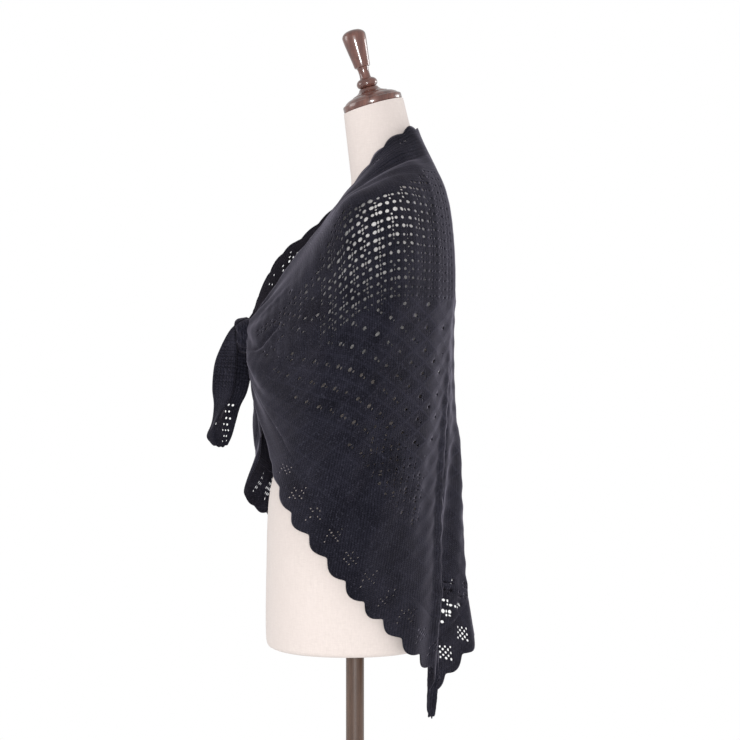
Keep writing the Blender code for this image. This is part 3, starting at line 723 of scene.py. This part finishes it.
def upper_eyelet(cell):
    """Columns of paired eyelets and small ones below the yoke, few in front."""
    phase, _ = phase_of(cell.down - NECK_BAND, UPPER_ROW)
    if cell.down < read_off(cell.across, YOKE_EDGE) or cell.to_seam < HEM_PLAIN:
        return 0.0
    if cell.across > FRONT_LACE:
        in_band = FRONT_BAND[0] < cell.down < FRONT_BAND[1] and cell.across < FRONT_BAND_END
        if phase or cell.kind not in PAIR or cell.chance > (0.6 if in_band else 0.14):
            return 0.0
        return 0.95 if in_band else 0.85
    if cell.chance > read_off(cell.across, FEWER_ALONG):
        return 0.0
    open_share = read_off(cell.across, OPEN_ALONG) * read_off(cell.down, OPEN_DOWN)
    if phase == 0:
        return open_share * {LARGE: 1.0, SECOND: 0.95, SMALL: 0.9 * (cell.chance < 0.6)}.get(cell.kind, 0.0)
    return open_share if phase == 2 and cell.kind == SMALL and cell.chance < 0.75 else 0.0


def net_eyelet(cell):
    """The diamond net: a large eyelet and a small one in turn, with ladders above the plain hem."""
    phase, row = phase_of(cell.down - upper_end, LOWER_ROW)
    if cell.to_seam < HEM_PLAIN:
        open_tip = cell.tip_lace and phase in (0, 2) and cell.kind in (*PAIR, SMALL)
        return 1.05 if open_tip and cell.chance < 0.7 else 0.0
    if cell.to_seam < LADDER_TOP and cell.across < LADDERS[1]:
        ladder = cell.across > LADDERS[0] and cell.kind in (SMALL, BETWEEN) and phase in (0, 2)
        return 0.8 if ladder and cell.chance < 0.8 else 0.0
    if cell.side < 0 and cell.across < OPEN_BACK[0] and phase == 0 and cell.to_seam > OPEN_BACK[1]:
        return 1.1 if cell.kind in PAIR and cell.chance < 0.8 else 0.0
    if cell.side > 0 and cell.across < SPARSE_BACK and cell.chance > 0.3:
        return 0.0
    odd = (cell.column + row) % 2
    if cell.kind == LARGE and phase == 0 and not odd:
        return 1.0
    return 0.95 if cell.kind == SMALL and phase == 2 and odd and cell.chance < 0.8 else 0.0


def eyelet_size(across, down, side):
    """How far the cell round a flat place is opened: 0 is closed, 1 leaves the whole cell open."""
    to_seam = seam_distance(across, down)
    band_start, band_end, band_end_at_tip = TIP_LACE_BAND
    in_band = band_start < to_seam < (band_end_at_tip if across < NEAR_TIP else band_end)
    tip_lace = side < 0 and FIRST_COLUMN < across < TIP_LACE and in_band
    if across > LAST_EYELETS or across < BACK_PLAIN and not tip_lace:
        return 0.0
    cell = Cell(across, down, side, to_seam, tip_lace,
                *phase_of(across - FIRST_COLUMN, COLUMN_CELLS), random.random())
    if down < NECK_BAND:
        return neck_eyelet(cell)
    return upper_eyelet(cell) if down < upper_end else net_eyelet(cell)


RIB_HEIGHT = 0.4
BACK_RIB_HEIGHT = 0.5
CUT_SNAP = 0.3  # points this near a cut are moved onto it


def joined(distance):
    """How deep a piece dips under its neighbour at a distance from their joint."""
    return SEAM_DIP * np.clip((SEAM_LAP - distance) / (2 * SEAM_LAP), 0.0, 1.0)


def lace_relief(across, down, side):
    """Soft ribs between the upper eyelet columns and raised diamonds in the net below, on both sides."""
    to_seam = seam_distance(across, down)
    at_back = np.clip((130.0 - across) / 60.0, 0.0, 1.0)
    ribs = RIB_HEIGHT * np.cos(2 * math.pi * (across - FIRST_COLUMN - 6.0) / COLUMN)
    ribs = ribs + BACK_RIB_HEIGHT * np.cos(4 * math.pi * (across - 8.0) / COLUMN) * at_back
    u = (across - FIRST_COLUMN - LARGE_MIDDLE[0]) / NET_REPEAT[0]
    v = (down - upper_end - LARGE_MIDDLE[1]) / NET_REPEAT[1]
    diamonds = -RIB_HEIGHT * (np.cos(2 * math.pi * (u + v)) + np.cos(2 * math.pi * (u - v)))
    lower = np.clip((down - upper_end + 10.0) / 20.0, 0.0, 1.0)
    in_lace = np.clip((down - 70.0) / 20.0, 0.0, 1.0) * np.clip(to_seam / 12.0, 0.0, 1.0)
    return (ribs * (1 - lower) + diamonds * lower) * in_lace - joined(to_seam) - joined(across)


def cut_off(sheet, point, outward):
    """Cut away what lies beyond a straight line across a flat sheet."""
    bmesh.ops.bisect_plane(sheet, geom=sheet.verts[:] + sheet.edges[:] + sheet.faces[:], dist=CUT_SNAP,
                           plane_co=point, plane_no=outward, clear_outer=True)


def flat_area(shape):
    """Area of a flat sheet laid out in mm, in square metres."""
    return sum(face.calc_area() for face in shape.faces) * MM * MM


knit, knit_tree, knit_shader = new_material("black wool knit", (0.02, 0.019, 0.026), 0.95)
knit_shader.inputs["Specular IOR Level"].default_value = 0.05
knit_shader.inputs["Sheen Weight"].default_value = 0.05
knit_shader.inputs["Sheen Roughness"].default_value = 0.25
knit_shader.inputs["Sheen Tint"].default_value = (0.86, 0.76, 0.92, 1.0)
STITCH_WIDTH = 0.0032
STITCH_HEIGHT = 0.0026
YOKE_RIDGE = 0.0042  # the yoke is ridged across, once in this
YARN_SHADED_AND_RAISED = ((0.0062, 0.0062, 0.0098), (0.0225, 0.0221, 0.0335))  # deep in the stitches, painted darker as shade, and on them
LINT = (0.05, 0.049, 0.067)
# painted highlight colour for the rims where the cloth turns away
PAINTED_RIM_HIGHLIGHT = (0.25, 0.235, 0.295)

knit_place = add_node(knit_tree, "ShaderNodeTexCoord").outputs["Object"]
knit_math = partial(calculate, knit_tree)
knit_range = partial(map_range, knit_tree)
knit_mix = partial(mix_colours, knit_tree)
knit_cloudy = partial(cloudy, knit_tree, knit_place)


def off_middle(value):
    """How far a repeating value is from the middle of its repeat."""
    fraction = knit_math("FRACT", value)
    return knit_math("ABSOLUTE", knit_math("SUBTRACT", fraction, 0.5))


flat_place = add_node(knit_tree, "ShaderNodeUVMap", uv_map="flat").outputs[0]
flat_xyz = add_node(knit_tree, "ShaderNodeSeparateXYZ", [(0, flat_place)]).outputs
flat_across, flat_down = flat_xyz[0], flat_xyz[1]

# each stitch is a V: rows bent up at both sides of their wale, with a groove between wales
wale_side = off_middle(knit_math("MULTIPLY", flat_across, 1 / STITCH_WIDTH))
course = knit_math("MULTIPLY", flat_down, 1 / STITCH_HEIGHT)
bent = knit_math("MULTIPLY_ADD", wale_side, 1.5, course)
strand = knit_math("SINE", knit_math("MULTIPLY", bent, 2 * math.pi))
groove = knit_math("MULTIPLY", knit_math("POWER", wale_side, 4.0), -22.0)
knit_height = knit_math("MULTIPLY_ADD", strand, 0.5, groove)

ridge = knit_math("SINE", knit_math("MULTIPLY", flat_down, 2 * math.pi / YOKE_RIDGE))
ridge = knit_math("MULTIPLY", ridge, knit_range(flat_down, 0.08, 0.11, 1.0, 0.0))
knit_height = knit_math("MULTIPLY_ADD", ridge, 0.6, knit_height)

# twisted stitches stand out in slanting lines round every eyelet of the net, most at the back
net_across, net_down = (
    knit_math("MULTIPLY_ADD", place, 1 / (repeat * MM), -(start + middle) / repeat)
    for place, repeat, start, middle in (
        (flat_across, NET_REPEAT[0], FIRST_COLUMN, LARGE_MIDDLE[0]),
        (flat_down, NET_REPEAT[1], upper_end, LARGE_MIDDLE[1])))
slants = [knit_range(off_middle(knit_math("MULTIPLY_ADD", net_down, sign, net_across)),
                     0.03, 0.09, 1.0, 0.0) for sign in (1.0, -1.0)]
net_line = knit_math("MULTIPLY", knit_math("MAXIMUM", *slants),
                     knit_range(flat_down, 0.235, 0.25, 0.0, 1.0))
net_height = knit_math("MULTIPLY", knit_range(flat_across, 0.08, 0.14, 2.0, 0.7),
                       knit_range(flat_down, 0.4, 0.54, 1.0, 0.25))
knit_height = knit_math("MULTIPLY_ADD", net_line, net_height, knit_height)

fuzz = knit_cloudy(900.0, 3.0, 0.7)
tone = knit_math("MULTIPLY_ADD", fuzz, 0.7, knit_cloudy(28.0, 3.0))
# partly painted shade: the stitch relief is painted into the colour, darker in the grooves and lighter on
# raised strands and net lines; the noise is the yarn's own uneven tone
tone = knit_math("MULTIPLY_ADD", knit_height, 0.3, tone)
knit_colour = knit_mix(knit_range(tone, 0.5, 1.15, 0.0, 1.0), *YARN_SHADED_AND_RAISED)
lint = knit_cloudy(430.0, 2.0, 0.6)
knit_colour = knit_mix(knit_range(lint, 0.56, 0.72, 0.0, 0.7), knit_colour, LINT)
# painted rim highlight: the colour is lightened where the cloth turns away from the view, in place of light
# caught by loose wool fibres
facing = add_node(knit_tree, "ShaderNodeLayerWeight", [(0, 0.5)]).outputs["Facing"]
knit_colour = knit_mix(knit_math("POWER", facing, 5.2), knit_colour, PAINTED_RIM_HIGHLIGHT)
knit_height = knit_math("MULTIPLY_ADD", fuzz, 1.6, knit_height)
finish_surface(knit_tree, knit_shader, knit_colour, knit_height, 0.8, 0.0009)


def finish_cloth(item, nodes):
    thickness = item.modifiers.new("yarn thickness", "SOLIDIFY")
    thickness.thickness = WALL * MM
    thickness.offset = 0.0
    thickness.use_even_offset = False
    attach(item, "root")
    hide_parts(*nodes)


CORNER_CUT = 30.0  # how much of an eyelet's sides its rounded corners take, in per cent
SCALLOP_FADE = 9.0  # the neck's scallops are gone this far down
STRAIGHT_EDGE = 6.0  # the outer edges stay even, the eyelets' edges don't
UNEVEN = 1.1  # how far the handwork strays, and over what length
UNEVEN_OVER = 11.0
random.seed(7)
noise.seed_set(4)  # without this, Blender's noise starts from the clock and differs each run
hem_way = Vector((HALF_WIDTH, -DEPTH, 0.0)).normalized()
hem_out = Vector((DEPTH, HALF_WIDTH, 0.0)).normalized()
back_tip = Vector((0.0, DEPTH, 0.0))
knot_point = Vector((KNOT_END, 0.0, 0.0))
knot_cut = {side: Vector((flat_depth(reach), KNOT_END - reach, 0.0)) for side, reach in HEM_REACH.items()}
for word, side in (("left", 1), ("right", -1)):
    lace = grid_sheet(column_lines, row_lines)
    eyelets = []
    for face in lace.faces:
        middle = face.calc_center_median()
        size = eyelet_size(middle.x, middle.y, side)
        if size > 0:
            eyelets.append((face, middle, size * random.uniform(0.85, 1.25)))
    for face, middle, size in eyelets:
        for vertex in face.verts:
            vertex.co = middle.lerp(vertex.co, size)
    gaps = [face for face, _, _ in eyelets]
    corners = list(dict.fromkeys(vertex for face in gaps for vertex in face.verts))
    bmesh.ops.delete(lace, geom=gaps, context="FACES")
    bmesh.ops.bevel(lace, geom=corners, affect="VERTICES", offset=CORNER_CUT, offset_type="PERCENT",
                    segments=1, profile=0.5, material=-1, clamp_overlap=True)
    cut_off(lace, back_tip - hem_out * (HEM_BORDER - SEAM_LAP), hem_out)
    cut_off(lace, knot_point, knot_cut[side])
    keep_flat_map(lace)
    for vertex in lace.verts:
        scallop = NECK_SCALLOP_DEPTH * (0.6 - abs(math.sin(math.pi * vertex.co.x / NECK_SCALLOP)))
        lift = scallop * max(0.0, 1 - vertex.co.y / SCALLOP_FADE)
        if not vertex.is_boundary or min(vertex.co.x, vertex.co.y) > STRAIGHT_EDGE:
            vertex.co += noise.noise_vector(vertex.co / UNEVEN_OVER + Vector((side, 0, 0))) * UNEVEN
        vertex.co.y += lift
        vertex.co.z = 0.0
    area = flat_area(lace)
    wear(lace, side, lace_relief)
    half = add_piece(f"{word}_lace", lace, knit)
    finish_cloth(half, (f"{word}_wing", f"{word}_neck_border"))


# ======================== the scalloped hem edging
# A band knitted on square to the hem, 42 mm deep, worked in shallow scallops. Each one has a
# diamond of open eyelets in it and a dense plain rim. In front it is turned under and plain.
HEM_SCALLOP = 40.0
HEM_SCALLOP_DEPTH = 8.0
FIRST_SCALLOP = -15.0  # where the scallops start, beyond the back tip
SCALLOP_CELLS = (4.2, 4.2, 3.8, 1.2, 3.8, 1.2, 3.8, 1.2, 3.8, 1.2, 3.8, 4.1, 3.7)
BORDER_ROWS = (-SEAM_LAP, 0.0, 3.5, 7.0, 10.8, 12.0, 15.8, 17.0, 20.8, 22.0, 25.8, 27.0, 30.8, 34.4, 38.4,
               HEM_BORDER)
EYELET_OPEN = {1: 0.55, -1: 1.0}  # they are stretched wider open in the right half
EYELET_CELLS = (2, 4, 6, 8, 10)
TURNED_UNDER = {1: 302.0, -1: 424.0}
PLAIN_FADE = {1: 20.0, -1: 120.0}  # how gently the scallops die away there
TURN_DEPTH = 5.0  # how far the outer edge is rolled in
LAST_WORKED = 12.0  # the eyelets stop this far before
SWELL_FROM = 14.0  # the scallops swell from here out
EDGING_UNEVEN = 1.2
EDGING_UNEVEN_OVER = 30.0


def rim_relief(across, down, side):
    """The sewn edge dips under the lace; the outer edge is rolled in where it is turned under."""
    out = (down - flat_depth(across)) * HEM_COSINE
    turned = np.clip((across - TURNED_UNDER[side]) / 25.0, 0.0, 1.0)
    dip = joined(HEM_BORDER + out) + joined(across)
    return -TURN_DEPTH * turned * np.clip((out + 9.0) / 9.0, 0.0, 1.0) ** 2 - dip


def round_cells(item):
    """Smooth a sheet's square cells into round eyelets."""
    rounding = item.modifiers.new("rounding", "SUBSURF")
    rounding.levels = 1
    rounding.render_levels = 1


for word, side in (("left", 1), ("right", -1)):
    hem_end = HEM_LENGTH * HEM_REACH[side] / HALF_WIDTH + HEM_SCALLOP
    lines = lines_from(FIRST_SCALLOP, SCALLOP_CELLS, hem_end)
    edging = grid_sheet(lines, BORDER_ROWS)
    gaps = []
    for face in edging.faces:
        middle = face.calc_center_median()
        i, _ = phase_of(middle.x - FIRST_SCALLOP, SCALLOP_CELLS)
        j = int(np.searchsorted(BORDER_ROWS, middle.y)) - 1
        if i not in EYELET_CELLS or j - 1 not in EYELET_CELLS or abs(i - 6) + abs(j - 7) > 4:
            continue
        worked = random.random() < EYELET_OPEN[side] + 0.2
        if worked and middle.x * HEM_COSINE < TURNED_UNDER[side] - LAST_WORKED:
            gaps.append(face)
            for vertex in face.verts:
                vertex.co = middle.lerp(vertex.co, EYELET_OPEN[side] * random.uniform(0.75, 1.15))
    bmesh.ops.delete(edging, geom=gaps, context="FACES")
    for vertex in edging.verts:
        along_hem, across = vertex.co.x, vertex.co.y
        shown = max(0.0, min(1.0, (TURNED_UNDER[side] - along_hem * HEM_COSINE) / PLAIN_FADE[side]))
        scallop = abs(math.sin(math.pi * (along_hem - FIRST_SCALLOP) / HEM_SCALLOP)) - 0.5
        swell = HEM_SCALLOP_DEPTH * scallop * shown
        grow = max(0.0, (across - SWELL_FROM) / (HEM_BORDER - SWELL_FROM))
        vertex.co = back_tip + hem_way * along_hem + hem_out * (across - HEM_BORDER + swell * grow)
        stray = noise.noise_vector(vertex.co / EDGING_UNEVEN_OVER)
        vertex.co += stray * min(1.0, across / 10.0) * EDGING_UNEVEN
        vertex.co.z = 0.0
    cut_off(edging, Vector((-SEAM_LAP, 0, 0)), Vector((-1, 0, 0)))
    cut_off(edging, knot_point, knot_cut[side])
    keep_flat_map(edging)
    area = flat_area(edging)
    wear(edging, side, rim_relief)
    band = add_piece(f"{word}_edging", edging, knit)
    round_cells(band)
    finish_cloth(band, (f"{word}_hem_border",))


# ======================== the knot
# The two wing ends crossed and pulled tight: a pleated lump with one end wrapped over it.
KNOT_CENTRE = Vector((4.0, -142.5, 1217.0))
KNOT_HALF_SIZE = Vector((26.0, 19.5, 24.0))
KNOT_SQUARENESS = 3.0
KNOT_CELL = (25.0, 25.0)  # of its knit, in mm

knot_shape = bmesh.new()
bmesh.ops.create_uvsphere(knot_shape, u_segments=96, v_segments=64, radius=1.0)
keep_flat_map(knot_shape, KNOT_CELL)
for vertex in knot_shape.verts:
    way = vertex.co.normalized()
    size = sum(abs(value) ** KNOT_SQUARENESS for value in way) ** (-1 / KNOT_SQUARENESS)
    slant = way.z * 1.2 + way.x * 0.9
    pleats = 0.045 * math.sin(9.0 * slant + 1.6 * way.y) + 0.02 * math.sin(19.0 * slant + 2.0)
    vertex.co = (KNOT_CENTRE + way * KNOT_HALF_SIZE * size * (0.97 + pleats)) * MM
knot = add_piece("knot_wrap", knot_shape, knit)
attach(knot, "root")
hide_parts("knot")


# ======================== the hanging ends
# The left wing's end comes up over the knot and falls in front, folded lengthwise, with the
# edging's eyelets at its rounded foot. The other end hangs flat behind it.
TailRow = namedtuple("TailRow", "outer crest under inner")
FRONT_TAIL = [TailRow(*row) for row in (
    ((14, -144, 1241), (2, -147, 1242), (-5, -146, 1242), (-12, -144, 1241)),
    ((20, -156, 1236), (10, -160, 1237), (-2, -160, 1237), (-12, -156, 1236)),
    ((14, -169, 1222), (22, -161, 1220), (8, -161, 1217), (-10, -152, 1214)),
    ((9, -181, 1200), (24, -159, 1199), (6, -163, 1195), (-9, -143, 1190)),
    ((6, -189, 1178), (25, -160, 1176), (4, -165, 1171), (-8, -141, 1166)),
    ((5, -192, 1147), (24, -164, 1145), (3, -168, 1143), (-6, -146, 1141)),
    ((3, -190, 1124), (20, -172, 1126), (2, -174, 1124), (-5, -155, 1122)),
    ((0, -193, 1100), (13, -185, 1104), (2, -178, 1103), (-4, -161, 1101)),
    ((0, -200, 1082), (8, -190, 1084), (2, -178, 1084), (-2, -166, 1083)),
    ((0, -194, 1072), (5, -186, 1069), (2, -179, 1068), (0, -172, 1071)),
)]
UNDER_TAIL = [TailRow(*row) for row in (
    ((14, -142, 1194.8), (5, -144, 1194.8), (-5, -144, 1194.8), (-14, -142, 1194.8)),
    ((18, -134, 1175), (6, -138, 1175), (-7, -138, 1175), (-20, -134, 1175)),
    ((20, -130, 1150), (6, -134, 1150), (-9, -134, 1150), (-24, -130, 1150)),
    ((18, -128, 1120), (4, -132, 1118), (-11, -132, 1119), (-26, -129, 1122)),
    ((12, -126, 1096), (1, -129, 1092), (-10, -129, 1093), (-22, -127, 1098)),
    ((4, -126, 1085), (-2, -127, 1081), (-8, -127, 1082), (-14, -126, 1086)),
)]

TAIL_CELL = (3.0, 3.0)  # of the ends' knit, in mm
FOOT_SCALLOPS = 3.5
FOOT_SCALLOP_DEPTH = 1.6


def tail_sheet(table, cells_across, cells_down, pleats, pleat_height, foot_eyelets):
    """A folded strip through its rows, pleated at the top and pierced at its scalloped foot."""
    sheet = grid_sheet(list(range(cells_across + 1)), list(range(cells_down + 1)))
    gaps = []
    for face in sheet.faces:
        middle = face.calc_center_median()
        i, j = int(middle.x), int(middle.y)
        if cells_down - foot_eyelets < j < cells_down - 3 and j % 3 == 0 and 3 < i < cells_across - 3:
            if (i + j) % 2 == 0 and random.random() < (0.7 if i > cells_across * 0.62 else 0.12):
                gaps.append(face)
                for vertex in face.verts:
                    vertex.co = middle.lerp(vertex.co, random.uniform(0.9, 1.5))
    bmesh.ops.delete(sheet, geom=gaps, context="FACES")
    columns = [[Vector(getattr(row, part)) for row in table] for part in TailRow._fields]
    keep_flat_map(sheet, TAIL_CELL)
    last = len(columns) - 1
    sheet.verts.ensure_lookup_table()
    places = []
    for vertex in sheet.verts:
        across = vertex.co.x / cells_across
        down = vertex.co.y / cells_down
        points = [[curve_at(line, max(0.0, down * (len(table) - 1) + shift)) for line in columns]
                  for shift in (0.0, 0.05)]
        here = curve_at(points[0], last * across)
        beside = (curve_at(points[0], min(last * across + 0.03, last))
                  - curve_at(points[0], max(last * across - 0.03, 0.0)))
        below = curve_at(points[1], last * across) - here
        normal = beside.cross(below)
        normal = normal.normalized() if normal.length > 1e-9 else Vector((1, 0, 0))
        fade = (1 - down) ** 0.8 * min(1.0, down * 8)
        wave = math.sin(2 * math.pi * pleats * across + 2.2 * down + 0.6)
        foot = max(0.0, down * 8 - 7) * abs(math.sin(FOOT_SCALLOPS * math.pi * across))
        lobe = Vector((0, 0, FOOT_SCALLOP_DEPTH * foot))
        places.append((here - normal * wave * pleat_height * fade - lobe) * MM)
    for vertex, place in zip(sheet.verts, places):
        vertex.co = place
    return sheet


for name, node, flat, shape in (
        ("front_end", "front_tail", (0.055, 0.19),
         tail_sheet(FRONT_TAIL, 22, 64, pleats=3.4, pleat_height=0.8, foot_eyelets=23)),
        ("under_end", "under_tail", (0.045, 0.115),
         tail_sheet(UNDER_TAIL, 16, 36, pleats=2.6, pleat_height=1.6, foot_eyelets=14))):
    tail = add_piece(name, shape, knit)
    round_cells(tail)
    finish_cloth(tail, (node,))
